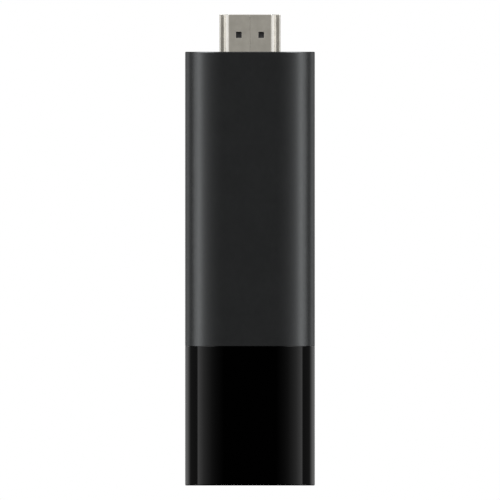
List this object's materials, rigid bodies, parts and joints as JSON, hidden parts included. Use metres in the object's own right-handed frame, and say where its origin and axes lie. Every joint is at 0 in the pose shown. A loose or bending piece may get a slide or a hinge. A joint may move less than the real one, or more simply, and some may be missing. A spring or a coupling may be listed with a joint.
{
  "type": "streaming media player",
  "caption": "Slim streaming stick: matte rounded housing with a video plug at its nose, a gloss end cap, and a side power port beside a reset key.",
  "frame": {"origin": "on the video plug's axis, at the housing's nose face that the plug stands out of", "axes": "+Z out of the nose along the plug, -Y out of the front face, +X towards the side with the power port"},
  "size_m": [0.0294, 0.0154, 0.1068],
  "materials": {
    "matte_charcoal": "fine spark-eroded texture, satin",
    "gloss_black": "high polish",
    "gasket_foam": "closed-cell foam",
    "plug_plating": "nickel plate, satin",
    "insulator_black": "moulded, satin",
    "contact_gold": "gold plate",
    "board_green": "solder mask over glass-fibre laminate",
    "chip_black": "moulded epoxy, dull",
    "inductor_grey": "pressed ferrite, dull",
    "capacitor_ceramic": "fired, dull",
    "shield_tin": "tin plate, satin",
    "thermal_pad": "soft silicone, dull",
    "spreader_aluminium": "rolled sheet, satin",
    "graphite_grey": "pressed graphite, satin",
    "antenna_copper": "tinned copper alloy, satin",
    "port_steel": "nickel plate, satin",
    "screw_steel": "zinc plate",
    "lamp_resin": "clear cast resin over white",
    "light_pipe_clear": "clear, polished",
    "key_black": "satin gloss",
    "switch_black": "moulded, dull",
    "plunger_ivory": "moulded, dull"
  },
  "bodies": {
    "housing": {"front_shell": "matte_charcoal", "rear_shell": "matte_charcoal", "end_cap": "gloss_black", "nose_gasket": "gasket_foam", "plug_shell": "plug_plating", "plug_insulator": "insulator_black", "plug_upper_contacts": "contact_gold", "plug_lower_contacts": "contact_gold", "main_board": "board_green", "board_screws": "screw_steel", "processor": "chip_black", "memory_chips": "chip_black", "storage_chip": "chip_black", "wireless_module": "chip_black", "wireless_lid": "shield_tin", "regulator_chips": "chip_black", "power_inductors": "inductor_grey", "crystals": "shield_tin", "front_capacitors": "capacitor_ceramic", "rear_capacitors": "capacitor_ceramic", "shield_frame": "shield_tin", "shield_lid": "shield_tin", "rear_shield_can": "shield_tin", "processor_pad": "thermal_pad", "lid_pad": "thermal_pad", "storage_pad": "thermal_pad", "rear_pad": "thermal_pad", "front_heat_spreader": "spreader_aluminium", "rear_heat_spreader": "spreader_aluminium", "graphite_sheet": "graphite_grey", "left_antenna": "antenna_copper", "right_antenna": "antenna_copper", "power_port_shell": "port_steel", "power_port_tongue": "insulator_black", "power_port_contacts": "contact_gold", "status_lamp": "lamp_resin", "light_pipe": "light_pipe_clear", "reset_switch": "switch_black"},
    "key": {"reset_key": "key_black", "reset_plunger": "plunger_ivory"}
  },
  "joints": [
    {"name": "reset_press", "type": "slide", "parent": "housing", "child": "key", "axis": [-1, 0, 0], "range_m": [0, 0.00025], "stiffness_N_per_m": 6400}
  ]
}
